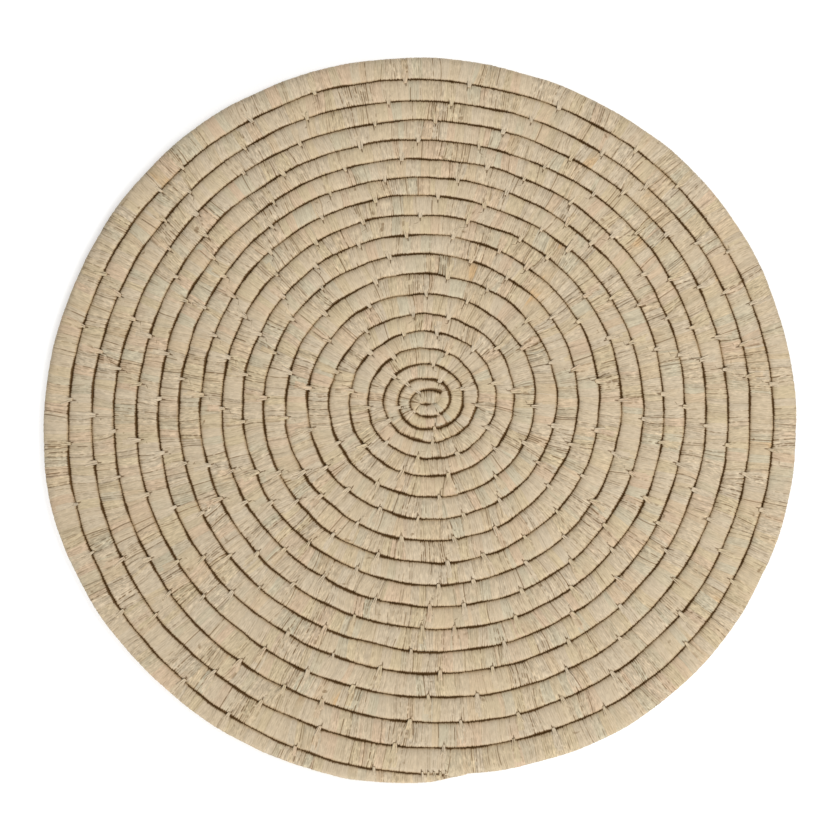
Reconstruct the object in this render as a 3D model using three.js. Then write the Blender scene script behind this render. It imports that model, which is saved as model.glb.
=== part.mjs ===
// Round raffia placemat, about 38 cm across: one thick coil of fibre, wrapped in raffia all along, wound in a
// flat spiral and sewn to the turn inside it as it goes.
// Millimetres, +Z up. The origin is on the table under the middle of the outline. Seen from above, +X is the
// mat's right and +Y its back. Turns are counted from the mat's right, counter-clockwise, so turn 2.25 is the
// back of the third ring.
import * as THREE from "three";

// The coil
const THICKNESS = 7;
const GROOVE_DEPTH = 2.6;
const START_TURN = 0.09;
const END_TURN = 18.78;

// Where the spiral winds round, and the eye that its first turn is folded about
const SPIRAL_CENTRE = { x: 4.1, y: 9.5 };
const EYE = { x: -1, y: -1 };

// The groove outside the coil, all along the spiral: its mean radius, how far the ring there is shifted to the
// right and to the back, and how much wider it is from left to right (oval) and along its 45 degree diagonal
// (slant). The first turn is the button that the coil is folded into, with a row for each of its sides.
const RINGS = [
  { turn: 0.1, radius: 7.6, right: 0, back: 0, oval: 0, slant: 0 },
  { turn: 0.25, radius: 5.8, right: 0, back: 0, oval: 0, slant: 0 },
  { turn: 0.5, radius: 8.8, right: 0, back: 0, oval: 0, slant: 0 },
  { turn: 0.8, radius: 7.1, right: 0, back: 0, oval: 0, slant: 0 },
  { turn: 1.08, radius: 12.2, right: 0, back: 0, oval: 0, slant: 0 },
  { turn: 1.25, radius: 12.6, right: 0, back: 0, oval: 1, slant: 0 },
  { turn: 2, radius: 17.2, right: -0.5, back: 1.2, oval: 1, slant: 0 },
  { turn: 3, radius: 24.5, right: -0.5, back: 1.5, oval: 1, slant: 0 },
  { turn: 5, radius: 42.4, right: -0.5, back: 1, oval: 1.5, slant: 0 },
  { turn: 8, radius: 74.8, right: -1, back: -0.5, oval: 2, slant: 0 },
  { turn: 11, radius: 106.8, right: -0.5, back: -2.5, oval: 2.5, slant: -1 },
  { turn: 14, radius: 138.2, right: -0.5, back: -5.5, oval: 3, slant: -0.5 },
  { turn: 16.5, radius: 166.4, right: -0.5, back: -9, oval: 3, slant: -1 },
  { turn: 18.8, radius: 194, right: -1, back: -12, oval: 2.5, slant: -1 },
];

// Soft corners of the hand-wound rings, full at the rim and fading towards the middle
const CORNERS = [
  { lobes: 3, towards: 85, swell: 0.7 },
  { lobes: 4, towards: 34, swell: 0.8 },
];

// The coil's tail thins until it ends against the ring inside it
const TAIL = [
  { turn: 18.55, width: 12.2 },
  { turn: 18.61, width: 9.5 },
  { turn: 18.68, width: 8.3 },
  { turn: 18.72, width: 6.8 },
  { turn: 18.75, width: 4.7 },
  { turn: END_TURN, width: 0 },
];
const FULL_TAIL_WIDTH = TAIL[0].width;

// Points of the coil's section, as shares of its width and of the groove's depth: flat crowns above and below
const UPPER = [
  { across: 0.12, lift: 0.66 },
  { across: 0.34, lift: 1 },
  { across: 0.66, lift: 1 },
  { across: 0.88, lift: 0.66 },
];
const LOWER = [
  { across: 0.24, lift: 1 },
  { across: 0.76, lift: 1 },
];

// Stations along the coil: fewer in the small inner rings
const STEPS_PER_TURN = 48;
const INNER_TURNS = 2;
const INNER_STRIDE = 4;
const MIDDLE_TURNS = 8;
const MIDDLE_STRIDE = 2;

const RAFFIA = new THREE.MeshStandardMaterial({ color: 0xc7b496, roughness: 0.75, metalness: 0 });

// The value of one column of a table at a turn between two of its rows
function columnAt(rows, column, turn) {
  if (turn <= rows[0].turn) {
    return rows[0][column];
  }
  const next = rows.findIndex((row) => row.turn > turn);
  if (next < 0) {
    return rows.at(-1)[column];
  }
  const before = rows[next - 1];
  const after = rows[next];
  return THREE.MathUtils.mapLinear(turn, before.turn, after.turn, before[column], after[column]);
}

function grooveRadius(turn) {
  const bearing = 2 * Math.PI * turn;
  const growth = (turn / END_TURN) ** 2;
  let radius = columnAt(RINGS, "radius", turn);
  radius += columnAt(RINGS, "right", turn) * Math.cos(bearing);
  radius += columnAt(RINGS, "back", turn) * Math.sin(bearing);
  radius += columnAt(RINGS, "oval", turn) * Math.cos(2 * bearing);
  radius += columnAt(RINGS, "slant", turn) * Math.sin(2 * bearing);
  for (const { lobes, towards, swell } of CORNERS) {
    radius += swell * growth * Math.cos(lobes * (bearing - THREE.MathUtils.degToRad(towards)));
  }
  return radius;
}

function pointAt(turn, radius) {
  const bearing = 2 * Math.PI * turn;
  return new THREE.Vector2(
    SPIRAL_CENTRE.x + radius * Math.cos(bearing),
    SPIRAL_CENTRE.y + radius * Math.sin(bearing),
  );
}

// The coil's inner and outer edge at a turn: the eye or the groove inside it, and the groove or the rim outside
function innerEdge(turn) {
  if (turn < START_TURN + 1) {
    return new THREE.Vector2(SPIRAL_CENTRE.x + EYE.x, SPIRAL_CENTRE.y + EYE.y);
  }
  return pointAt(turn, grooveRadius(turn - 1));
}

function tailWidth(turn) {
  return turn < TAIL[0].turn ? Infinity : columnAt(TAIL, "width", turn);
}

function outerEdge(turn) {
  return pointAt(turn, Math.min(grooveRadius(turn), grooveRadius(turn - 1) + tailWidth(turn)));
}

// The stations along the coil, keyed by their step. Each has points on its upper side, in the outer groove above
// and below, and on its lower side, and borrows its inner groove from the station one turn before it.
function coilStations(addPoint) {
  const grooveTop = THICKNESS - GROOVE_DEPTH;
  const lastStep = Math.round((END_TURN - START_TURN) * STEPS_PER_TURN);
  const eye = innerEdge(START_TURN);
  const eyeStation = { outerTop: addPoint(eye, grooveTop), outerBottom: addPoint(eye, GROOVE_DEPTH) };
  const stations = new Map();

  // The station one turn before, or the next one behind it where the stations grow denser
  const stationInside = (step) => {
    let before = step - STEPS_PER_TURN;
    while (before >= 0 && !stations.has(before)) {
      before -= 1;
    }
    return before < 0 ? eyeStation : stations.get(before);
  };
  const strideAt = (step) => {
    if (step < INNER_TURNS * STEPS_PER_TURN) {
      return INNER_STRIDE;
    }
    return step < MIDDLE_TURNS * STEPS_PER_TURN ? MIDDLE_STRIDE : 1;
  };

  for (let step = 0; step < lastStep; step += strideAt(step)) {
    const turn = START_TURN + step / STEPS_PER_TURN;
    const inner = innerEdge(turn);
    const outer = outerEdge(turn);
    const fullness = Math.sqrt(Math.min(1, tailWidth(turn) / FULL_TAIL_WIDTH));
    const crown = ({ across, lift }, z, reach) =>
      addPoint(inner.clone().lerp(outer, across), z + reach * lift * fullness);
    stations.set(step, {
      inside: stationInside(step),
      upper: UPPER.map((corner) => crown(corner, grooveTop, GROOVE_DEPTH)),
      outerTop: addPoint(outer, grooveTop),
      outerBottom: addPoint(outer, GROOVE_DEPTH),
      lower: LOWER.map((corner) => crown(corner, GROOVE_DEPTH, -GROOVE_DEPTH)),
    });
  }

  // The tail's tip is one upright edge on the ring inside it
  const tip = stationInside(lastStep);
  stations.set(lastStep, {
    inside: tip,
    upper: UPPER.map(() => tip.outerTop),
    outerTop: tip.outerTop,
    outerBottom: tip.outerBottom,
    lower: LOWER.map(() => tip.outerBottom),
  });
  return stations;
}

// The closed skin of the spiral coil
function coilGeometry() {
  const positions = [];
  const triangles = [];
  const addPoint = (place, z) => {
    positions.push(place.x, place.y, z);
    return positions.length / 3 - 1;
  };
  // A triangle with two equal corners has closed up to an edge, as at the eye and the tail
  const addTriangle = (a, b, c) => {
    if (a !== b && b !== c && c !== a) {
      triangles.push(a, b, c);
    }
  };
  const addQuad = (a, b, c, d) => {
    addTriangle(a, b, c);
    addTriangle(a, c, d);
  };
  const topLine = (station) => [station.inside.outerTop, ...station.upper, station.outerTop];
  const bottomLine = (station) => [station.inside.outerBottom, ...station.lower, station.outerBottom];

  const stations = coilStations(addPoint);
  const steps = [...stations.keys()];
  const rimStart = steps.at(-1) - STEPS_PER_TURN;
  for (let i = 0; i + 1 < steps.length; i += 1) {
    const near = stations.get(steps[i]);
    const far = stations.get(steps[i + 1]);
    const nearTop = topLine(near);
    const farTop = topLine(far);
    for (let j = 0; j + 1 < nearTop.length; j += 1) {
      addQuad(nearTop[j], nearTop[j + 1], farTop[j + 1], farTop[j]);
    }
    const nearBottom = bottomLine(near);
    const farBottom = bottomLine(far);
    for (let j = 0; j + 1 < nearBottom.length; j += 1) {
      addQuad(nearBottom[j + 1], nearBottom[j], farBottom[j], farBottom[j + 1]);
    }
    if (steps[i] >= rimStart) {
      addQuad(near.outerTop, near.outerBottom, far.outerBottom, far.outerTop);
    }
  }

  // The cut end of the coil beside the eye, above and below the groove
  const start = stations.get(0);
  const cutTop = topLine(start);
  for (let j = 1; j + 1 < cutTop.length; j += 1) {
    addTriangle(cutTop[0], cutTop[j + 1], cutTop[j]);
  }
  const cutBottom = bottomLine(start);
  for (let j = 1; j + 1 < cutBottom.length; j += 1) {
    addTriangle(cutBottom[0], cutBottom[j], cutBottom[j + 1]);
  }

  const geometry = new THREE.BufferGeometry();
  geometry.setAttribute("position", new THREE.Float32BufferAttribute(positions, 3));
  geometry.setIndex(triangles);
  geometry.computeVertexNormals();
  return geometry;
}

const placemat = new THREE.Group();
placemat.name = "raffia_placemat";

const coiledMat = new THREE.Mesh(coilGeometry(), RAFFIA);
coiledMat.name = "coiled_mat";
placemat.add(coiledMat);

export default placemat;
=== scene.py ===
import math

import bpy
import numpy as np
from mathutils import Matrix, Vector


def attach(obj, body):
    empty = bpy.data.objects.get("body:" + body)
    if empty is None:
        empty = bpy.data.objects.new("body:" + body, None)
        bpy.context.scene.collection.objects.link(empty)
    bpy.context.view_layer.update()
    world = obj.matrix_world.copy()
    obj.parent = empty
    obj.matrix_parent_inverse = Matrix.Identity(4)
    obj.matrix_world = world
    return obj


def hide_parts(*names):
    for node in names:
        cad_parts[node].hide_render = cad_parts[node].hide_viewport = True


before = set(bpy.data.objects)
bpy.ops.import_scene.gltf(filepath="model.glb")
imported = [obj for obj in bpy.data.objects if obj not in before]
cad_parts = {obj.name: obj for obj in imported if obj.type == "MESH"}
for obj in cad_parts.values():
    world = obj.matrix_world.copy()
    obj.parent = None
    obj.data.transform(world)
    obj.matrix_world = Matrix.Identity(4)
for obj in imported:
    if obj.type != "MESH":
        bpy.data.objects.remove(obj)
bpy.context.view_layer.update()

# The winding: the mat is one long coil, wound in a flat spiral round a small folded button and pressed
# flat. The grooves between its turns were shaped by hand, so they are not quite round. Turns are counted
# from the mat's right, counter-clockwise as seen from above. This section is in mm.
SPIRAL_CENTRE = np.array([4.1, 9.5])
END_TURN = 18.766
# turn, mean radius, shift to the right and to the back, oval from left to right, slant at 45 degrees
RINGS = np.array([
    (0.10, 7.6, 0, 0, 0, 0),
    (0.25, 5.8, 0, 0, 0, 0),
    (0.50, 8.8, 0, 0, 0, 0),
    (0.80, 7.1, 0, 0, 0, 0),
    (1.08, 12.2, 0, 0, 0, 0),
    (1.25, 12.6, 0, 0, 1, 0),
    (2.00, 17.2, -0.5, 1.2, 1, 0),
    (3.00, 24.5, -0.5, 1.5, 1, 0),
    (5.00, 42.4, -0.5, 1, 1.5, 0),
    (8.00, 74.8, -1, -0.5, 2, 0),
    (11.0, 106.8, -0.5, -2.5, 2.5, -1),
    (14.0, 138.2, -0.5, -5.5, 3, -0.5),
    (16.5, 166.4, -0.5, -9, 3, -1),
    (18.8, 194.0, -1, -12, 2.5, -1),
])
# soft corners at the rim: lobes, bearing in degrees, swell
CORNERS = ((3, 85, 0.7), (4, 34, 0.8))
# the coil's uneven run between the maker's fingers: waves in a turn, swing, phase
WANDER = ((7.3, 0.20, 0.4), (17.1, 0.16, 2.0), (31.7, 0.08, 4.1))
WANDER_FROM_TURN = 1.5
# the tail thins out against the ring inside it: turn, width
TAIL = np.array([
    (18.55, 12.2),
    (18.61, 9.5),
    (18.68, 8.2),
    (18.72, 6.7),
    (18.74, 5.3),
    (18.752, 3.8),
    (18.76, 1.8),
    (END_TURN, 0.5),
])
# just before the tail's end: the last wraps take in its tip, and the ring inside it becomes the rim
TIP_TAKEN_IN = (END_TURN - 0.009, END_TURN - 0.004)
RIM_STARTS = (END_TURN - 0.010, END_TURN - 0.001)
# the button, the coil's first stretch folded back on itself: right, back, half width, thickness share,
# and how much of the groove's painted shade shows inside it
BUTTON = (
    (6.6, 1.9, 1.6, 0.7, 0.2),
    (5.4, 2.2, 2.8, 0.95, 0.2),
    (3.0, 2.35, 3.25, 1, 0.35),
    (0, 2.4, 3.35, 1, 1),
    (-3.0, 2.1, 3.35, 1, 1),
    (-5.3, 0.9, 3.2, 1, 1),
    (-6.2, -0.9, 3.0, 1, 1),
    (-5.5, -2.9, 3.1, 1, 1),
    (-3.0, -4.05, 3.2, 1, 1),
    (0.5, -4.2, 3.25, 1, 1),
    (4.0, -3.6, 3.3, 1, 0.3),
    (7.0, -1.4, 3.2, 1, 0.2),
    (8.5, 1.8, 3.1, 1, 0.3),
)
# the grooves gape round the button and close further out, but at the front left they stay a little open;
# only their painted shade is drawn wider for it
GAPING = np.array([(1.1, 1), (2.2, 0.8), (3.6, 0)])
BUTTON_GAPING = 0.7
FRONT_LEFT_GAPING = 0.4
FRONT_LEFT = math.radians(230)
SPIRAL_FROM_TURN = 1.1
PATH_STEP = 2.5


def at_turn(table, turn, column=1):
    """One column of a table, between its rows on either side of the turn."""
    return np.interp(turn, table[:, 0], table[:, column])


def groove_radius(turn):
    """Radius of the groove outside the coil."""
    mean, right, back, oval, slant = (at_turn(RINGS, turn, column) for column in range(1, 6))
    bearing = 2 * math.pi * turn
    radius = mean + right * np.cos(bearing) + back * np.sin(bearing)
    radius += oval * np.cos(2 * bearing) + slant * np.sin(2 * bearing)
    for lobes, towards, swell in CORNERS:
        radius += swell * (turn / END_TURN) ** 2 * np.cos(lobes * (bearing - math.radians(towards)))
    for waves, swing, phase in WANDER:
        radius += swing * np.clip(turn - WANDER_FROM_TURN, 0, 1) * np.sin(bearing * waves + phase)
    return radius


def place_at(turn, radius):
    bearing = 2 * math.pi * turn
    return SPIRAL_CENTRE + radius * np.array([math.cos(bearing), math.sin(bearing)])


def coil_edges(turn):
    """Radius of the coil's inner and outer edge."""
    inner = groove_radius(turn - 1)
    outer = groove_radius(turn)
    if turn > TAIL[0, 0]:
        outer = min(outer, inner + at_turn(TAIL, turn))
    taken_in = np.interp(turn + 1, TAIL[:, 0], TAIL[:, 1], left=0, right=0)
    outer += np.interp(turn + 1, TIP_TAKEN_IN, (0, 1)) * taken_in
    return inner, outer


def tail_fullness(turn):
    """The coil's thickness as a share of its full one."""
    return math.sqrt(at_turn(TAIL, turn) / TAIL[0, 1])


def coil_path():
    """Points along the middle of the coil, and at each its size and how its two edges look."""
    rows = []
    for right, back, half_width, fullness, seam in BUTTON:
        rows.append((*(SPIRAL_CENTRE + (right, back)), half_width, fullness, 0, BUTTON_GAPING, seam))
    turn = SPIRAL_FROM_TURN
    while turn < END_TURN:
        inner, outer = coil_edges(turn)
        middle = place_at(turn, (inner + outer) / 2)
        rim = float(np.interp(turn + 1, RIM_STARTS, (0, 1)))
        gaping = at_turn(GAPING, turn)
        gaping += FRONT_LEFT_GAPING * max(0, math.cos(2 * math.pi * turn - FRONT_LEFT))
        rows.append((*middle, (outer - inner) / 2, tail_fullness(turn), rim, gaping, 1))
        turn += PATH_STEP / (2 * math.pi * inner)
    return dict(zip(("x", "y", "half_width", "fullness", "rim", "gaping", "seam"), np.array(rows).T))


# The stitches' places: as the coil is wound, its wrapping strand is taken over the groove and through
# the edge of the turn inside. Each stitch is set a little behind the one in the turn before, so they run
# in arms, and a new arm starts where two have grown far apart. Five close ones fasten the tail.
MM = 0.001
FIRST_STITCHES = (0.37, 0.59, 0.86, 1.17, 1.39, 1.53, 1.79, 2.06, 2.23, 2.40, 2.57, 2.77, 2.99)
FIRST_FOLLOWED = 4
STITCH_BEHIND = 0.28
STITCH_JITTER = 0.08
# in mm, how close two stitches may come, and by turn how far apart
CLOSEST_STITCHES = 15
WIDEST_GAP = np.array([(2, 32), (18, 55)])
# where in too wide a gap a new arm starts
NEW_ARM_PLACE = (0.45, 0.55)
LAST_ROW_TURN = 17.735
TAIL_STITCHES = (17.7475, 17.7502, 17.7525, 17.7552, 17.7578)
SEWING_SEED = 3
# how far a stitch reaches into the turn inside, and over its own turn as a share of that turn's width
STITCH_REACH = 1.65 * MM
STITCH_OVER_COIL = 0.55
RIBBON_LENGTH = 6 * MM
# the smallest and largest stitches as shares of a usual one, and the range of their tints and slants
REACHES = (0.7, 1.35)
BREADTHS = (0.65, 1.3)
TINTS = (0, 0.75)
SLANTS = (-0.22, 0.22)
TAIL_STITCH_REACH = 0.7
TAIL_STITCH_BREADTH = 0.6


def stitch_turns():
    luck = np.random.default_rng(SEWING_SEED)
    turns = list(FIRST_STITCHES)
    follow = FIRST_FOLLOWED
    while turns[-1] < LAST_ROW_TURN:
        here = turns[-1]
        around = 2 * math.pi * float(groove_radius(here))
        behind = STITCH_BEHIND + luck.uniform(-STITCH_JITTER, STITCH_JITTER)
        step = turns[follow] + 1 - (turns[follow + 1] - turns[follow]) * behind - here
        if step * around < CLOSEST_STITCHES:
            follow += 1
        elif step * around > at_turn(WIDEST_GAP, here):
            turns.append(here + step * luck.uniform(*NEW_ARM_PLACE))
        else:
            turns.append(here + step)
            follow += 1
    return [turn for turn in turns if turn < LAST_ROW_TURN] + list(TAIL_STITCHES)


def point_object(name, places, edges=(), **values):
    """Loose points, or a chain of them, each carrying named values."""
    mesh = bpy.data.meshes.new(name)
    mesh.from_pydata([tuple(p) for p in places], list(edges), [])
    for key, column in values.items():
        column = np.asarray(column, np.float32)
        kind, field = ("FLOAT_VECTOR", "vector") if column.ndim == 2 else ("FLOAT", "value")
        mesh.attributes.new(key, kind, "POINT").data.foreach_set(field, column.ravel())
    made = bpy.data.objects.new(name, mesh)
    bpy.context.scene.collection.objects.link(made)
    return made


def mark_stitches(half_thickness):
    """A point in the groove for each stitch, with its direction, size, slope and look."""
    luck = np.random.default_rng(SEWING_SEED + 1)
    turns = stitch_turns()
    bearings = [2 * math.pi * turn for turn in turns]
    reach = luck.uniform(*REACHES, len(turns)) * STITCH_REACH
    breadth = luck.uniform(*BREADTHS, len(turns))
    tint = luck.uniform(*TINTS, len(turns))
    slant = luck.uniform(*SLANTS, len(turns))
    reach[-len(TAIL_STITCHES):] = TAIL_STITCH_REACH * STITCH_REACH
    breadth[-len(TAIL_STITCHES):] = TAIL_STITCH_BREADTH
    # a longer reach makes a longer stitch, as far as the turn that it lies on is wide
    edges = np.array([coil_edges(turn + 1) for turn in turns])
    fitting = (reach + (edges[:, 1] - edges[:, 0]) * MM * STITCH_OVER_COIL) / RIBBON_LENGTH
    length = np.minimum(0.5 + 0.5 * reach / STITCH_REACH, fitting)
    # it slopes down onto the thinner tail
    drop = np.array([(1 - tail_fullness(turn + 1)) * half_thickness for turn in turns])
    return point_object(
        "stitch places",
        [(*(place_at(turn, float(groove_radius(turn))) * MM), 0) for turn in turns],
        outward=[(math.cos(bearing), math.sin(bearing), 0) for bearing in bearings],
        reach=reach,
        breadth=breadth,
        length=length,
        dip=np.arctan2(drop, length * RIBBON_LENGTH),
        tint=tint,
        slant=slant,
    )


# Raffia: dried palm leaf, split into ribbons. Beige and straw, with greyish green, warm tan and now and
# then orange strands; dull but for a faint gloss along the fibres; brown painted shade down in the grooves.
RAFFIA_TINTS = (
    (0.00, (0.550, 0.456, 0.326)),
    (0.20, (0.554, 0.449, 0.312)),
    (0.42, (0.550, 0.441, 0.298)),
    (0.58, (0.549, 0.443, 0.281)),
    (0.72, (0.567, 0.426, 0.288)),
    (0.86, (0.522, 0.455, 0.321)),
    (0.975, (0.526, 0.404, 0.256)),
    (0.992, (0.580, 0.394, 0.209)),
)
# painted shade: dark brown down in the grooves, warmer brown along their edges, and brown in the creases
# and cracks; the crease brown also colours the raffia's own bruised flecks
GROOVE_SHADE_BROWN = (0.094, 0.044, 0.008, 1)
MARGIN_SHADE_BROWN = (0.34, 0.205, 0.075, 1)
CREASE_SHADE_AND_BRUISE_BROWN = (0.17, 0.095, 0.034, 1)
# lines and flecks to the metre across and along the fibres, and their detail
COARSE_FIBRES = (1050, 260, 2.0)
MIDDLING_FIBRES = (2000, 380, 2.0)
FINE_FIBRES = (4600, 450, 3.0)
TINT_PATCHES = (60, 40, 2.0)
HAIRLINES = (330, 300, 1.0)
CRACKS = (60, 170, 1.0)
BRUISES = (150, 190, 1.0)
SIDE_SHADOW_FIBRES = (90, 30, 1.0)
GROOVE_DEPTHS = (42, 0, 1.0)
# soft changes of those: from, to, and the outcome at either end
COARSE_LIGHT = (0.25, 0.75, 0.89, 1.09)
MIDDLING_LIGHT = (0.25, 0.75, 0.83, 1.15)
FINE_LIGHT = (0.2, 0.8, 0.88, 1.08)
HAIRLINE_BREAKS = (0.4, 0.53, 0.1, 1.0)
CRACK_BREAKS = (0.36, 0.5, 0.0, 1.0)
RARE_BRUISES = (0.755, 0.80)
BRUISED_FIBRES = (0.35, 0.6, 0.35, 1.0)
GROOVE_MARGIN_FADE = (0.3, 0.95)
GROOVE_DARKNESS = (0.575, 0.87)
# a stitch's painted shade, in mm from its tip or its middle: in the needle's slit, in the hole, and as
# painted contact shadow along its sides
SLIT_SIDE = (0.42, 0.16)
SLIT_START = (-1.2, -0.7)
SLIT_END = (2.0, 0.9)
HOLE_AROUND = (0.5, 0.2)
HOLE_COVER = 0.4
SIDE_SHADOW_FROM_MIDDLE = 0.65
SIDE_SHADOW_ACROSS = (0.35, 0.1)
SIDE_SHADOW_START = (-0.2, 0.1)
SIDE_SHADOW_END = (2.4, 0.6)
SIDE_SHADOW_BREAKS = (0.4, 0.6)
# how strongly each brown covers the raffia: the bruises' own colour, and the painted shade by a stitch,
# along a groove's edge and down in it
BRUISE_COVER = 0.7
STITCH_SHADE_COVER = 0.9
MARGIN_COVER = 0.6
GROOVE_COVER = 0.96
GLOSS = 0.25
BUMP_STRENGTH = 0.6
BUMP_HEIGHT = 0.3 * MM


def plug(tree, socket, value):
    if isinstance(value, Wire):
        value = value.socket
    if isinstance(value, bpy.types.NodeSocket):
        tree.links.new(value, socket)
    else:
        socket.default_value = value


def node(tree, kind, feeds=None, **settings):
    """A node with its settings, fed by socket name or number."""
    made = tree.nodes.new(kind)
    for name, value in settings.items():
        setattr(made, name, value)
    for key, value in (feeds or {}).items():
        plug(tree, made.inputs[key], value)
    return made


def wire(tree, kind, feeds=None, out=0, **settings):
    """What comes out of a new node."""
    return Wire(tree, node(tree, kind, feeds, **settings).outputs[out])


class Wire:
    """A value in a node tree, so that a shape's rule reads as plain arithmetic."""

    def __init__(self, tree, socket):
        self.tree = tree
        self.socket = socket

    def maths(self, operation, *others, out=0):
        parts = (self, *others)
        vectors = any(isinstance(part, Wire) and part.socket.type == "VECTOR" for part in parts)
        kind = "ShaderNodeVectorMath" if vectors else "ShaderNodeMath"
        return wire(self.tree, kind, dict(enumerate(parts)), out, operation=operation)

    def __add__(self, other):
        return self.maths("ADD", other)

    def __sub__(self, other):
        return self.maths("SUBTRACT", other)

    def __mul__(self, other):
        return self.maths("MULTIPLY", other)

    def __truediv__(self, other):
        return self.maths("DIVIDE", other)

    def power(self, exponent):
        return self.maths("POWER", exponent)

    def size(self):
        return self.maths("ABSOLUTE")

    def floor(self):
        return self.maths("FLOOR")

    def over(self, limit):
        """One where this value is over the limit, and nothing elsewhere."""
        return self.maths("GREATER_THAN", limit)

    def under(self, limit):
        """One where this value is under the limit, and nothing elsewhere."""
        return self.maths("LESS_THAN", limit)

    def rest(self):
        """What is left of one."""
        return self * -1 + 1

    def times(self, length):
        """This direction, made that long."""
        return wire(self.tree, "ShaderNodeVectorMath", {0: self, "Scale": length}, operation="SCALE")

    def dot(self, other):
        return self.maths("DOT_PRODUCT", other, out=1)

    def ramp(self, start, end, low=0.0, high=1.0):
        """Soft change from low, where this value is start, to high, where it is end."""
        feeds = {0: self, 1: start, 2: end, 3: low, 4: high}
        return wire(self.tree, "ShaderNodeMapRange", feeds, interpolation_type="SMOOTHSTEP")

    def parts(self):
        made = node(self.tree, "ShaderNodeSeparateXYZ", {0: self})
        return [Wire(self.tree, socket) for socket in made.outputs]


def vector(tree, x=0.0, y=0.0, z=0.0):
    return wire(tree, "ShaderNodeCombineXYZ", {0: x, 1: y, 2: z})


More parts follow.
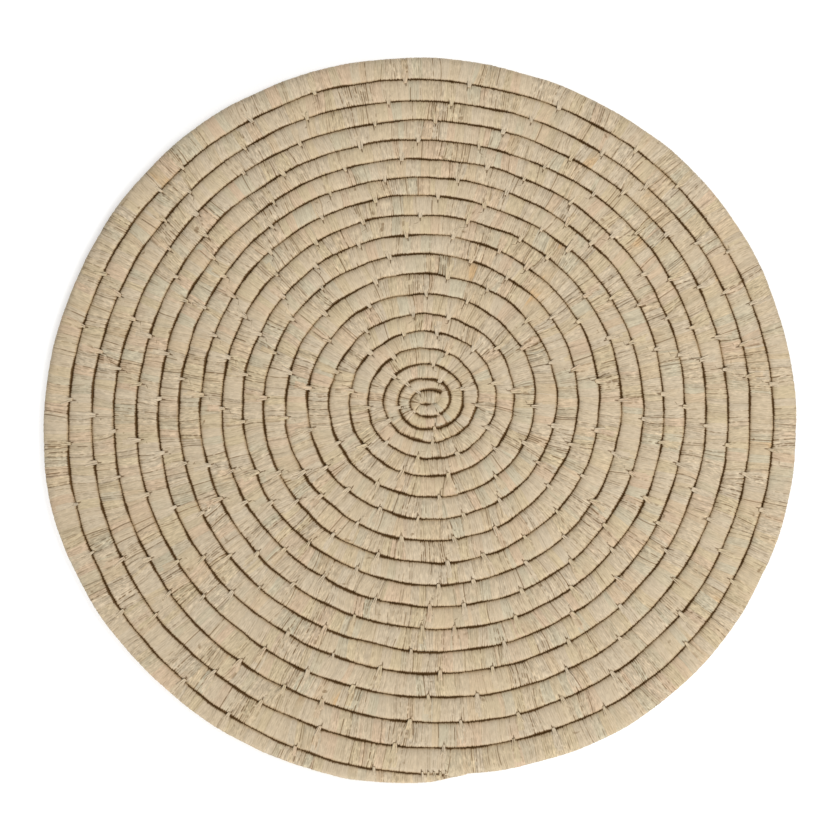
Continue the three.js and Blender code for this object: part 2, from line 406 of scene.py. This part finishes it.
def raffia_finish():
    material = bpy.data.materials.new("raffia")
    material.use_nodes = True
    tree = material.node_tree
    surface = tree.nodes["Principled BSDF"]

    def carried(name, out="Fac"):
        """A value that the mesh carries under that name."""
        return wire(tree, "ShaderNodeAttribute", None, out, attribute_name=name)

    def fibres(across_fibres, along_fibres, detail):
        """Lines that run along the strand."""
        stretched = carried("weave", "Vector") * vector(tree, across_fibres, along_fibres, along_fibres)
        feeds = {"Vector": stretched, "Scale": 1.0, "Detail": detail, "Roughness": 0.6}
        return wire(tree, "ShaderNodeTexNoise", feeds)

    def blend(share, under, over, how="MIX"):
        feeds = {0: share, 6: under, 7: over}
        return wire(tree, "ShaderNodeMix", feeds, 2, data_type="RGBA", blend_type=how)

    # each strand has its tint, a little patchy along it, and lighter and darker fibres
    tints = node(tree, "ShaderNodeValToRGB")
    stops = tints.color_ramp.elements
    for k, (place, colour) in enumerate(RAFFIA_TINTS):
        stop = stops[k] if k < 2 else stops.new(place)
        stop.position = place
        stop.color = (*colour, 1)
    patchy = fibres(*TINT_PATCHES) - 0.5
    plug(tree, tints.inputs[0], carried("strand") * 0.92 + 0.04 + patchy * 0.24)
    coarse = fibres(*COARSE_FIBRES)
    middling = fibres(*MIDDLING_FIBRES)
    fine = fibres(*FINE_FIBRES)
    relief = coarse.ramp(*COARSE_LIGHT) * middling.ramp(*MIDDLING_LIGHT) * fine.ramp(*FINE_LIGHT)
    open_wraps = carried("open")
    light = (relief - 1) * (open_wraps * 1.25 + 0.15) + 1
    light = light * (carried("wrap") * 0.055 + 0.965) * (open_wraps * 0.03 + 1.0)
    grey = wire(tree, "ShaderNodeCombineColor", {0: light, 1: light, 2: light})
    colour = blend(1.0, tints.outputs[0], grey, "MULTIPLY")

    # painted shade: dark hairlines in the gaps where two wraps do not meet and in cracked creases; and a
    # few bruised flecks, the raffia's own marks, in the same brown
    hairline = carried("crease").power(1.3) * fibres(*HAIRLINES).ramp(*HAIRLINE_BREAKS)
    crack = carried("crack").power(1.6) * fibres(*CRACKS).ramp(*CRACK_BREAKS)
    colour = blend(hairline.maths("MAXIMUM", crack), colour, CREASE_SHADE_AND_BRUISE_BROWN)
    bruise = fibres(*BRUISES).ramp(*RARE_BRUISES) * middling.ramp(*BRUISED_FIBRES)
    colour = blend(bruise * BRUISE_COVER, colour, CREASE_SHADE_AND_BRUISE_BROWN)

    # painted shade in the needle's slit at a stitch's tip and in the hole round it, and painted contact
    # shadow along the stitch's sides, in mm
    in_mm = vector(tree, 1 / MM, 1 / MM, 1 / MM)
    out_of_groove, beside, reach = (carried("sewing", "Vector") * in_mm).parts()
    past_tip = out_of_groove + reach
    inwards = past_tip * -1
    lopsided = (reach * 20).maths("SINE")
    side = (beside - lopsided * 0.7 + patchy * 1.5).size()
    longest, shortest = SLIT_END
    slit = side.ramp(*SLIT_SIDE) * inwards.ramp(*SLIT_START)
    slit = slit * inwards.ramp(lopsided * 0.5 + longest, shortest)
    hole = (inwards * inwards * 0.6 + beside * beside).maths("SQRT").ramp(*HOLE_AROUND) * HOLE_COVER
    side_shadow = (beside.size() + past_tip * -0.2 - SIDE_SHADOW_FROM_MIDDLE).size().ramp(*SIDE_SHADOW_ACROSS)
    side_shadow = side_shadow * out_of_groove.ramp(*SIDE_SHADOW_END) * out_of_groove.ramp(*SIDE_SHADOW_START)
    side_shadow = side_shadow * fibres(*SIDE_SHADOW_FIBRES).ramp(*SIDE_SHADOW_BREAKS)
    stitch_shade = slit.maths("MAXIMUM", hole).maths("MAXIMUM", side_shadow) * carried("by_stitch")

    # the grooves: a painted brown shade along their edges, and darker painted shade down in them that
    # starts unevenly
    gap = carried("groove")
    colour = blend(gap.ramp(*GROOVE_MARGIN_FADE) * MARGIN_COVER, colour, MARGIN_SHADE_BROWN)
    depth = fibres(*GROOVE_DEPTHS).ramp(0.34, 0.66, -0.2, 0.2) + carried("crease") * 0.2
    groove_shade = (gap + depth + (coarse - 0.5) * 0.45).ramp(*GROOVE_DARKNESS)
    colour = blend(groove_shade.maths("MAXIMUM", stitch_shade * STITCH_SHADE_COVER) * GROOVE_COVER, colour, GROOVE_SHADE_BROWN)

    plug(tree, surface.inputs["Base Color"], colour)
    plug(tree, surface.inputs["Roughness"], fine * 0.25 + 0.48)
    surface.inputs["Specular IOR Level"].default_value = GLOSS
    height = coarse * 0.4 + middling * 0.35 + fine * 0.25
    feeds = {"Height": height, "Strength": BUMP_STRENGTH, "Distance": BUMP_HEIGHT}
    plug(tree, surface.inputs["Normal"], wire(tree, "ShaderNodeBump", feeds))
    return material


raffia = raffia_finish()

# The wrapped coil: a thick core of fibre, wrapped all along in split raffia. Each round of the strand is
# a low rib across the coil, creased where it meets the next, and every few ribs another tint begins. The
# strand pulls in where it leaves the coil for a stitch, and dents the turn that it goes into.
HALF_THICKNESS = 3.3 * MM
MIDDLE_HEIGHT = 3.6 * MM
WRAP_WIDTH = 1.04 * MM
CREASE_DEPTH = 0.22 * MM
RAGGEDNESS = 0.13 * MM
# each turn is pressed that far into its neighbours
COIL_PRESS = 0.3 * MM
# the share of creases that have not cracked open
WHOLE_WRAPS = 0.981
SECTION_POINTS = 18
SQUARENESS = 2.9
LEAN = 0.65
COIL_LENGTHS = 4
# the luck of each ring and wrap: seed, lowest, highest
CREASE_SLIP = (0, -0.28, 0.28)
CREASE_LUCK = (1, 0, 1)
CROWN_RISE = (2, 0, 0.4)
RAGGED_EDGE = (3, -1.0, 0.7)
BLOCK_START = (4, 0, 0.9)
STRAND_TINT = (5, 0, 1)
WRAP_LIGHT = (6, 0, 1)
SEWN_HALF_WIDTH = (7, 1.0 * MM, 1.9 * MM)
CRACK_LUCK = (8, 0, 1)
# no crease slips right at the coil's ends
EVEN_ENDS = 4000
# how far every crease goes down, and how much further the deepest, as shares of the crease depth
SHALLOWEST_CREASE = 0.35
DEEPER_CREASE = 1.5
# slow changes to the metre of coil, and where each is read from
OPEN_STRETCHES = (40, 3)
OPENNESS = (-0.16, 0.2, 0.3, 1.0)
UNEVEN_WIDTHS = (55, 7)
UNEVENNESS = 0.4 * MM
LEANS = (22, 0)
SMALL_LEANS = (95, 5)
BOWS = (35, 9)
SMALL_BOWS = (120, 2)
# creases come and go along a wrap: changes to the metre of coil, and in half its width
CREASE_CHANGES = (430, 1.3)
CREASE_STRENGTH = (0.3, 0.7, 0.25, 1.6)
# what a stitch does: it gathers the wraps beside it, draws its groove inwards, and dents the turn inside
GATHERED_BESIDE = (5 * MM, 0.5 * MM)
GATHERED_OUTWARD = (6 * MM, 0.3 * MM)
GATHERED_FROM = -0.2 * MM
GATHER_SHARE = -0.45
DRAWN_BESIDE = (2.6 * MM, 0.4 * MM)
DRAWN_ACROSS = (2.8 * MM, 0.2 * MM)
DRAWN_SHARE = 0.3
UNDRAWN_REACH = 1.1 * MM
DENT_AROUND = (1.1 * MM, 0.2 * MM)
DENT_DEPTH = 0.4 * MM
# how far out the band of wraps goes that belongs to the stitch, and where the painted shade at its edges
# lies
SEWN_OUTWARD = 10.5 * MM
BAND_EDGE = 1.4 * MM
BAND_EDGE_FADE = (0.4 * MM, 0.1 * MM)
BY_STITCH = (4.7 * MM, 4.0 * MM)
# the width of the painted brown shade along a groove's edge, and what gaping adds to it
GROOVE_MARGIN = 2 * MM
GAPING_MARGIN = 1.2 * MM
WRAPS_IN_A_BLOCK = 9
WRAPS_IN_A_STRAND = 4.5


def kept(tree, name, kind="FLOAT"):
    """A value that the geometry carries under that name."""
    return wire(tree, "GeometryNodeInputNamedAttribute", {"Name": name}, data_type=kind)


def keep(tree, geometry, name, value, kind="FLOAT", domain="POINT"):
    feeds = {"Geometry": geometry, "Name": name, "Value": value}
    return wire(tree, "GeometryNodeStoreNamedAttribute", feeds, data_type=kind, domain=domain)


def chance(tree, number, seed, luck):
    """A random value for each number, by that luck's own seed."""
    own_seed, low, high = luck
    feeds = {2: low, 3: high, 7: number, 8: seed + own_seed}
    return wire(tree, "FunctionNodeRandomValue", feeds, 1)


def drift(tree, travel, to_the_metre, start):
    """A slow change along the coil, from about -0.5 to 0.5."""
    feeds = {"W": travel + start, "Scale": to_the_metre, "Detail": 1.5}
    return wire(tree, "ShaderNodeTexNoise", feeds, noise_dimensions="1D") - 0.5


def start_tree(name, sockets):
    """A geometry tree with named inputs, and those inputs by name."""
    tree = bpy.data.node_groups.new(name, "GeometryNodeTree")
    tree.is_modifier = True
    for label, kind in {"Geometry": "Geometry", **sockets}.items():
        tree.interface.new_socket(label, in_out="INPUT", socket_type="NodeSocket" + kind)
    tree.interface.new_socket("Geometry", in_out="OUTPUT", socket_type="NodeSocketGeometry")
    given = tree.nodes.new("NodeGroupInput")
    return tree, {socket.name: Wire(tree, socket) for socket in given.outputs if socket.name}


def end_tree(tree, geometry, material):
    """Every tree ends in smooth plain faces with their material."""
    smooth = wire(tree, "GeometryNodeSetShadeSmooth", {"Geometry": geometry})
    real = wire(tree, "GeometryNodeRealizeInstances", {0: smooth})
    painted = wire(tree, "GeometryNodeSetMaterial", {"Geometry": real, "Material": material})
    plug(tree, tree.nodes.new("NodeGroupOutput").inputs[0], painted)


def grow(name, source, tree, values):
    """Runs the tree on the source object and keeps what it makes as a plain mesh."""
    modifier = source.modifiers.new(tree.name, "NODES")
    modifier.node_group = tree
    for item in tree.interface.items_tree:
        if item.name in values:
            modifier[item.identifier] = values[item.name]
    bpy.context.view_layer.update()
    evaluated = source.evaluated_get(bpy.context.evaluated_depsgraph_get())
    mesh = bpy.data.meshes.new_from_object(evaluated)
    mesh.name = name
    piece = bpy.data.objects.new(name, mesh)
    bpy.context.scene.collection.objects.link(piece)
    bpy.data.objects.remove(source)
    return piece


def ringed_curve(tree, take, position):
    """The coil's middle line, two rings to a wrap: a crease, and a crown between it and the next."""
    curve = wire(tree, "GeometryNodeMeshToCurve", {0: take["Geometry"]})
    curve = wire(tree, "GeometryNodeCurveSplineType", {0: curve}, spline_type="CATMULL_ROM")
    curve = wire(tree, "GeometryNodeSetSplineResolution", {0: curve, 2: 6})
    feeds = {"Curve": curve, "Length": take["Wrap Width"] * 0.5}
    curve = wire(tree, "GeometryNodeResampleCurve", feeds, mode="LENGTH")
    ring = wire(tree, "GeometryNodeInputIndex")
    heading = wire(tree, "GeometryNodeInputTangent")
    run = node(tree, "GeometryNodeSplineParameter")
    travel = Wire(tree, run.outputs["Length"]) + take["Travel Before"]
    crown = ring.maths("MODULO", 2.0)
    crease = crown.rest()
    share = Wire(tree, run.outputs["Factor"])
    free = (share * EVEN_ENDS).maths("MINIMUM", share.rest() * EVEN_ENDS).maths("MINIMUM", 1.0)
    slip = chance(tree, ring, take["Seed"], CREASE_SLIP) * take["Wrap Width"] * crease * free
    open_stretch = drift(tree, travel, *OPEN_STRETCHES).ramp(*OPENNESS)
    deep = chance(tree, ring, take["Seed"], CREASE_LUCK).power(1.7) * open_stretch
    crack = chance(tree, ring, take["Seed"], CRACK_LUCK).over(take["Whole Wraps"]) * crease
    relief = crown * chance(tree, ring, take["Seed"], CROWN_RISE)
    relief = relief - crease * (deep * DEEPER_CREASE + SHALLOWEST_CREASE) - crack
    ragged = chance(tree, ring, take["Seed"], RAGGED_EDGE) * take["Raggedness"]
    ragged = ragged + drift(tree, travel, *UNEVEN_WIDTHS) * UNEVENNESS
    curve = keep(tree, curve, "middle", position + heading.times(slip), "FLOAT_VECTOR")
    curve = keep(tree, curve, "heading", heading, "FLOAT_VECTOR")
    carried = {
        "travel": travel,
        "ring": ring,
        "relief": relief * take["Crease Depth"],
        "ragged": ragged,
        "crease": crease * (deep * 1.05 + 0.15),
        "open": open_stretch,
        "crack": crack,
    }
    for name, value in carried.items():
        curve = keep(tree, curve, name, value)
    return curve


def pressed_section(tree, take, position):
    """The coil's section: a circle squared off."""
    feeds = {"Resolution": take["Section Points"], "Radius": 1.0}
    circle = wire(tree, "GeometryNodeCurvePrimitiveCircle", feeds)
    x, y, _ = position.parts()
    roundness = wire(tree, "ShaderNodeMath", {0: 2.0, 1: take["Squareness"]}, operation="DIVIDE")
    square_x = x.size().power(roundness) * x.maths("SIGN")
    square_y = y.size().power(roundness) * y.maths("SIGN")
    return keep(tree, circle, "section", vector(tree, square_x, square_y), "FLOAT_VECTOR")


def coil_tree():
    tree, take = start_tree("wrapped coil", {
        "Wrap Width": "Float", "Crease Depth": "Float", "Raggedness": "Float",
        "Half Thickness": "Float", "Middle Height": "Float", "Section Points": "Int",
        "Squareness": "Float", "Lean": "Float", "Whole Wraps": "Float",
        "Stitches": "Object", "Travel Before": "Float", "Seed": "Int", "Material": "Material",
    })
    up = vector(tree, z=1.0)
    position = wire(tree, "GeometryNodeInputPosition")
    curve = ringed_curve(tree, take, position)
    profile = pressed_section(tree, take, position)
    feeds = {"Curve": curve, "Profile Curve": profile, "Fill Caps": True}
    skin = wire(tree, "GeometryNodeCurveToMesh", feeds)

    # the skin's place: creases come and go across the coil, and the wraps lean and bow along it
    across, height, _ = kept(tree, "section", "FLOAT_VECTOR").parts()
    face = height.maths("SIGN")
    heading = kept(tree, "heading", "FLOAT_VECTOR")
    travel = kept(tree, "travel")
    along_coil, over_wrap = CREASE_CHANGES
    patches = vector(tree, travel * along_coil, across * over_wrap, face)
    patches = wire(tree, "ShaderNodeTexNoise", {"Vector": patches, "Scale": 1.0, "Detail": 1.0})
    relief = kept(tree, "relief") * patches.ramp(*CREASE_STRENGTH)
    half_width = kept(tree, "half_width") + relief * (across.power(4.0) * -0.6 + 1) + kept(tree, "ragged")
    half_height = take["Half Thickness"] * kept(tree, "fullness") + relief
    outward = heading.maths("CROSS_PRODUCT", up)
    lean = drift(tree, travel, *LEANS) + drift(tree, travel, *SMALL_LEANS) * 0.6
    bow = (drift(tree, travel, *BOWS) + drift(tree, travel, *SMALL_BOWS) * 0.5) * face * 0.6
    along = (lean * across + bow * across * across) * take["Lean"] * half_width
    place = kept(tree, "middle", "FLOAT_VECTOR") + outward.times(across * half_width)
    place = place + up.times(take["Middle Height"] + height * half_height) + heading.times(along)
    skin = wire(tree, "GeometryNodeSetPosition", {"Geometry": skin, "Position": place})

    # how far each point lies from the nearest stitch, across the coil and along it
    info = {0: take["Stitches"]}
    stitches = wire(tree, "GeometryNodeObjectInfo", info, "Geometry", transform_space="RELATIVE")
    flat = position * vector(tree, 1.0, 1.0, 0.0)
    nearest = wire(tree, "GeometryNodeSampleNearest", {0: stitches, 1: flat})

    def at_stitch(value, kind="FLOAT"):
        feeds = {0: stitches, 1: value, 2: nearest}
        return wire(tree, "GeometryNodeSampleIndex", feeds, data_type=kind)

    away = flat - at_stitch(position, "FLOAT_VECTOR")
    stitch_out = at_stitch(kept(tree, "outward", "FLOAT_VECTOR"), "FLOAT_VECTOR")
    reach = at_stitch(kept(tree, "reach"))
    tint = at_stitch(kept(tree, "tint"))
    out_of_groove = away.dot(stitch_out)
    beside = away.dot(heading)
    aside = beside.size()

    # the strand gathers the wraps beside it, draws the groove in, and dents the turn inside
    gathers = aside.ramp(*GATHERED_BESIDE) * out_of_groove.ramp(*GATHERED_OUTWARD)
    gathers = gathers * out_of_groove.over(GATHERED_FROM)
    drawn = aside.ramp(*DRAWN_BESIDE) * out_of_groove.size().ramp(*DRAWN_ACROSS)
    from_hole = out_of_groove + reach
    from_hole = (from_hole * from_hole + beside * beside).maths("SQRT")
    dent = from_hole.ramp(*DENT_AROUND) * DENT_DEPTH
    moved = heading.times(beside * gathers * GATHER_SHARE) - up.times(dent * face)
    moved = moved - stitch_out.times(drawn * (reach - UNDRAWN_REACH) * DRAWN_SHARE)
    skin = wire(tree, "GeometryNodeSetPosition", {"Geometry": skin, "Offset": moved})

    # where the grooves' painted shade lies, on both sides: none at the rim, and less inside the button
    groove = across.size().rest() * half_width
    groove = groove / (kept(tree, "gaping") * GAPING_MARGIN + GROOVE_MARGIN)
    groove = groove.rest().maths("MAXIMUM", 0.0) * (across.over(0.0) * kept(tree, "rim")).rest()
    groove = groove * (across.under(0.0) * (kept(tree, "seam") - 1) + 1)
    weave = vector(tree, travel, across * half_width, height * half_height)

    # each strand's tint, and each wrap's: those under a stitch have the stitch's own, between edges of
    # painted shade
    wrap = (kept(tree, "ring") * 0.5).floor()
    block = chance(tree, (wrap / WRAPS_IN_A_BLOCK).floor(), take["Seed"], BLOCK_START)
    strand = chance(tree, (wrap / WRAPS_IN_A_STRAND + block).floor(), take["Seed"], STRAND_TINT)
    spread = chance(tree, wrap, take["Seed"], SEWN_HALF_WIDTH)
    over_coil = out_of_groove.over(0.0) * out_of_groove.under(SEWN_OUTWARD)
    sewn = aside.under(spread) * over_coil
    band_edge_shade = (aside - BAND_EDGE).size().ramp(*BAND_EDGE_FADE) * over_coil * tint * 1.1

    # what the raffia finish reads
    skin = keep(tree, skin, "groove", groove)
    skin = keep(tree, skin, "weave", weave, "FLOAT_VECTOR")
    skin = keep(tree, skin, "sewing", vector(tree, out_of_groove, beside, reach), "FLOAT_VECTOR")
    skin = keep(tree, skin, "by_stitch", away.dot(away).maths("SQRT").ramp(*BY_STITCH))
    # the creases' painted shade, with the painted shade at the edges of the band under a stitch
    skin = keep(tree, skin, "crease", kept(tree, "crease").maths("MAXIMUM", band_edge_shade))
    skin = keep(tree, skin, "strand", strand * sewn.rest() + sewn * tint, domain="FACE")
    # the wraps under a stitch are painted a little lighter: painted light, as on the raised stitch
    light = chance(tree, wrap, take["Seed"], WRAP_LIGHT) + sewn * 0.4
    skin = keep(tree, skin, "wrap", light, domain="FACE")
    end_tree(tree, skin, take["Material"])
    return tree


stitch_places = mark_stitches(HALF_THICKNESS)
path = coil_path()
steps = np.hypot(np.diff(path["x"]), np.diff(path["y"]))
travelled = np.concatenate([[0], np.cumsum(steps)])
cuts = np.searchsorted(travelled, np.linspace(0, travelled[-1], COIL_LENGTHS + 1))
cuts[-1] = len(travelled) - 1
wrapped_coil = coil_tree()
coils = []
flat_sizes = []
for k, (first, last) in enumerate(zip(cuts, cuts[1:])):
    part = {name: column[first:last + 1] for name, column in path.items()}
    chain = point_object(
        f"coil path {k}",
        [(x * MM, y * MM, 0) for x, y in zip(part["x"], part["y"])],
        edges=[(i, i + 1) for i in range(last - first)],
        half_width=part["half_width"] * MM + COIL_PRESS,
        fullness=part["fullness"],
        rim=part["rim"],
        gaping=part["gaping"],
        seam=part["seam"],
    )
    piece = grow(f"wrapped_coil_{k + 1}", chain, wrapped_coil, {
        "Wrap Width": WRAP_WIDTH, "Crease Depth": CREASE_DEPTH, "Raggedness": RAGGEDNESS,
        "Half Thickness": HALF_THICKNESS, "Middle Height": MIDDLE_HEIGHT, "Section Points": SECTION_POINTS,
        "Squareness": SQUARENESS, "Lean": LEAN, "Whole Wraps": WHOLE_WRAPS, "Stitches": stitch_places,
        "Travel Before": float(travelled[first] * MM), "Seed": 100 * (k + 1), "Material": raffia,
    })
    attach(piece, "root")
    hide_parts("coiled_mat")
    coils.append(piece)
    length = float(travelled[last] - travelled[first]) * MM
    width = 2 * float(part["half_width"].mean()) * MM
    flat_sizes.append((width, length))

# The stitches: the wrapping strand on its way over the groove, split into a few ribbons that fan out on the
# outer turn and draw together into one hole in the turn inside. The same strand shows on the underside.
# One ribbon from its hole, in mm: across, height over the crown, half width, half thickness; and how much
# painted shade it has, most where it dives into the hole
STITCH_RIBBON = (
    (-0.4, -2.2, 0.20, 0.12, 1.0),
    (0.0, -1.0, 0.34, 0.16, 0.9),
    (0.4, -0.62, 0.42, 0.20, 0.5),
    (0.9, -0.66, 0.44, 0.22, 0.3),
    (1.65, -0.72, 0.46, 0.22, 0.3),
    (2.4, -0.70, 0.48, 0.22, 0.3),
    (3.0, -0.60, 0.50, 0.22, 0.2),
    (3.8, -0.42, 0.52, 0.20, 0.1),
    (5.0, -0.27, 0.50, 0.18, 0.0),
    (RIBBON_LENGTH / MM, -0.50, 0.40, 0.12, 0.0),
)
RIBBON_SIDES = 6
RIBBON_ANGLES = [2 * math.pi * k / RIBBON_SIDES for k in range(RIBBON_SIDES)]
RIBBON_SPREAD = 0.36 * MM
RIBBON_FAN = math.radians(6)
RIBBON_OPENNESS = 0.7
# across in mm, how creased a ribbon's edges are, which paints shade along them
EDGE_CREASE = np.array([(0.4, 0.8), (2.4, 0.7), (5.0, 0)])
# how far apart, in mm of the raffia's pattern, two ribbons take their fibres
FIBRE_SHIFT = 31.7
# each ribbon's luck: seed, lowest, highest; its lift is in mm
RIBBON_YAW = (0, -0.35, 0.35)
RIBBON_LONG = (1, 0.85, 1.15)
RIBBON_WIDE = (2, 0.85, 1.15)
RIBBON_THICK = (3, 0.9, 1.1)
RIBBON_TINT = (4, -0.1, 0.1)
RIBBON_LIGHT = (5, 0, 1)
RIBBON_ROLL = (6, -0.2, 0.2)
RIBBON_LIFT = (7, -0.12, 0.12)
# name, whether under the mat, ribbons in a stitch, seed
SEWN_FACES = (("stitches_top", 0.0, 3, 50), ("stitches_underside", 1.0, 2, 60))


def ribbon_template():
    corners = []
    tip_shades = []
    creases = []
    for across, height, half_width, half_thickness, tip_shade in STITCH_RIBBON:
        for angle in RIBBON_ANGLES:
            side = half_width * math.cos(angle)
            corners.append((across * MM, side * MM, (height + half_thickness * math.sin(angle)) * MM))
            # painted shade where the ribbon dives into the hole
            tip_shades.append(tip_shade)
            creases.append((abs(math.cos(angle)) > 0.9) * at_turn(EDGE_CREASE, across))
    faces = []
    for i in range(0, len(corners) - RIBBON_SIDES, RIBBON_SIDES):
        for k in range(RIBBON_SIDES):
            a = i + k
            b = i + (k + 1) % RIBBON_SIDES
            faces.append((a, b, b + RIBBON_SIDES, a + RIBBON_SIDES))
    faces.append(tuple(reversed(range(RIBBON_SIDES))))
    faces.append(tuple(range(len(corners) - RIBBON_SIDES, len(corners))))
    looks = {"groove": tip_shades, "crease": creases, "open": [RIBBON_OPENNESS] * len(corners)}
    mesh = bpy.data.meshes.new("stitch ribbon")
    mesh.from_pydata(corners, [], faces)
    for key, column in looks.items():
        mesh.attributes.new(key, "FLOAT", "POINT").data.foreach_set("value", column)
    made = bpy.data.objects.new("stitch ribbon", mesh)
    bpy.context.scene.collection.objects.link(made)
    return made


def stitch_tree():
    tree, take = start_tree("raffia stitches", {
        "Ribbon": "Object", "Ribbons": "Int", "Fan": "Float", "Crown Height": "Float",
        "Underside": "Float", "Spread": "Float", "Seed": "Int", "Material": "Material",
    })
    up = vector(tree, z=1.0)
    outward = kept(tree, "outward", "FLOAT_VECTOR")
    breadth = kept(tree, "breadth")

    # the ribbons start side by side from the hole
    hole = up.times(take["Crown Height"]) - outward.times(kept(tree, "reach"))
    places = wire(tree, "GeometryNodeSetPosition", {"Geometry": take["Geometry"], "Offset": hole})
    feeds = {"Geometry": places, "Amount": take["Ribbons"]}
    more = node(tree, "GeometryNodeDuplicateElements", feeds, domain="POINT")
    number = wire(tree, "GeometryNodeInputIndex")
    order = Wire(tree, more.outputs["Duplicate Index"]) - (take["Ribbons"] * 0.5 - 0.5)

    def by_luck(luck):
        return chance(tree, number, take["Seed"], luck)

    sideways = up.maths("CROSS_PRODUCT", outward) * (take["Underside"] * -2 + 1)
    offset = sideways.times(order * take["Spread"] * breadth) + up.times(by_luck(RIBBON_LIFT) * MM)
    strands = wire(tree, "GeometryNodeSetPosition", {"Geometry": more.outputs[0], "Offset": offset})

    # they fan out, roll a little, turn over on the underside, and dip onto a thinner turn
    feeds = {0: outward, 1: up}
    turn = wire(tree, "FunctionNodeAxesToRotation", feeds, primary_axis="X", secondary_axis="Z")
    turns_about = (
        ((1, 0, 0), take["Underside"] * math.pi + by_luck(RIBBON_ROLL)),
        ((0, 0, 1), (order + by_luck(RIBBON_YAW)) * take["Fan"] + kept(tree, "slant")),
        ((0, 1, 0), kept(tree, "dip")),
    )
    for axis, angle in turns_about:
        extra = wire(tree, "FunctionNodeAxisAngleToRotation", {0: axis, 1: angle})
        turn = wire(tree, "FunctionNodeRotateRotation", {0: turn, 1: extra}, rotation_space="LOCAL")
    long = kept(tree, "length") * by_luck(RIBBON_LONG)
    size = vector(tree, long, by_luck(RIBBON_WIDE) * breadth, by_luck(RIBBON_THICK))
    ribbon = wire(tree, "GeometryNodeObjectInfo", {0: take["Ribbon"], 1: True}, "Geometry")
    feeds = {"Points": strands, "Instance": ribbon, "Rotation": turn, "Scale": size}
    laid = wire(tree, "GeometryNodeInstanceOnPoints", feeds)
    laid = keep(tree, laid, "strand", kept(tree, "tint") + by_luck(RIBBON_TINT), domain="INSTANCE")
    laid = keep(tree, laid, "wrap", by_luck(RIBBON_LIGHT), domain="INSTANCE")
    end_tree(tree, wire(tree, "GeometryNodeRealizeInstances", {0: laid}), take["Material"])
    return tree


def weave_ribbons(piece):
    """Each ribbon's fibres run along it, from a part of the raffia of its own."""
    once = [(row[2] * math.cos(angle), row[0]) for row in STITCH_RIBBON for angle in RIBBON_ANGLES]
    ribbons = len(piece.data.vertices) // len(once)
    rows = [(side + FIBRE_SHIFT * r, across, 0) for r in range(ribbons) for side, across in once]
    weave = (np.array(rows, np.float32) * MM).ravel()
    piece.data.attributes.new("weave", "FLOAT_VECTOR", "POINT").data.foreach_set("vector", weave)


stitching = stitch_tree()
ribbon = ribbon_template()
for name, under, ribbons, seed in SEWN_FACES:
    places = bpy.data.objects.new(name + " places", stitch_places.data.copy())
    bpy.context.scene.collection.objects.link(places)
    crown = MIDDLE_HEIGHT + HALF_THICKNESS * (1 - 2 * under)
    piece = grow(name, places, stitching, {
        "Ribbon": ribbon, "Ribbons": ribbons, "Fan": RIBBON_FAN, "Crown Height": crown,
        "Underside": under, "Spread": RIBBON_SPREAD, "Seed": seed, "Material": raffia,
    })
    weave_ribbons(piece)
    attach(piece, "root")
for helper in (ribbon, stitch_places):
    bpy.data.objects.remove(helper)

# the width and length of each length of the coil as a flat strip, read here and not used further
for k, piece in enumerate(coils):
    width, length = flat_sizes[k]

# The stage: a glowing white table under the mat, lit softly all round and from the right and the front. The
# camera looks straight down, and the 840 pixels of its picture take in 424 mm of the mat's upper face.
FLOOR_SIZE = 30
FLOOR_GREY = (0.6, 0.6, 0.6, 1)
FLOOR_ROUGHNESS = 0.9
FLOOR_GLOW = 0.5
ROOM_GLOW = 0.445
WHITE = (1, 1, 1, 1)
# name, diameter in m, watts, place: a soft light near the mat's right, and a broad one far in front of it
LAMPS = (("key", 0.9, 12, (0.75, 0.3, 1.25)), ("front", 2.0, 60, (-0.1, -2.6, 1.4)))
CAMERA_HEIGHT = 1.6
VIEW_WIDTH = 0.4242
VIEW_CENTRE = (0, 0.0004)
UPPER_FACE = 0.006

half = FLOOR_SIZE / 2
floor_mesh = bpy.data.meshes.new("floor")
floor_corners = [(-half, -half, 0), (half, -half, 0), (half, half, 0), (-half, half, 0)]
floor_mesh.from_pydata(floor_corners, [], [(0, 1, 2, 3)])
floor = bpy.data.objects.new("floor", floor_mesh)
bpy.context.scene.collection.objects.link(floor)
floor_paint = bpy.data.materials.new("floor")
floor_paint.use_nodes = True
floor_surface = floor_paint.node_tree.nodes["Principled BSDF"]
floor_surface.inputs["Base Color"].default_value = FLOOR_GREY
floor_surface.inputs["Roughness"].default_value = FLOOR_ROUGHNESS
floor_surface.inputs["Emission Color"].default_value = WHITE
floor_surface.inputs["Emission Strength"].default_value = FLOOR_GLOW
floor_mesh.materials.append(floor_paint)

world = bpy.data.worlds.new("studio")
world.use_nodes = True
world.node_tree.nodes["Background"].inputs["Color"].default_value = WHITE
world.node_tree.nodes["Background"].inputs["Strength"].default_value = ROOM_GLOW
bpy.context.scene.world = world

for name, size, watts, place in LAMPS:
    light = bpy.data.lights.new(name, "AREA")
    light.shape = "DISK"
    light.size = size
    light.energy = watts
    lamp = bpy.data.objects.new(name, light)
    lamp.location = place
    lamp.rotation_euler = (-Vector(place)).to_track_quat("-Z", "Y").to_euler()
    bpy.context.scene.collection.objects.link(lamp)

lens = bpy.data.cameras.new("camera")
lens.sensor_width = 36
lens.lens = lens.sensor_width * (CAMERA_HEIGHT - UPPER_FACE) / VIEW_WIDTH
camera = bpy.data.objects.new("camera", lens)
camera.location = (*VIEW_CENTRE, CAMERA_HEIGHT)
bpy.context.scene.collection.objects.link(camera)
bpy.context.scene.camera = camera
bpy.context.scene.view_settings.view_transform = "Standard"
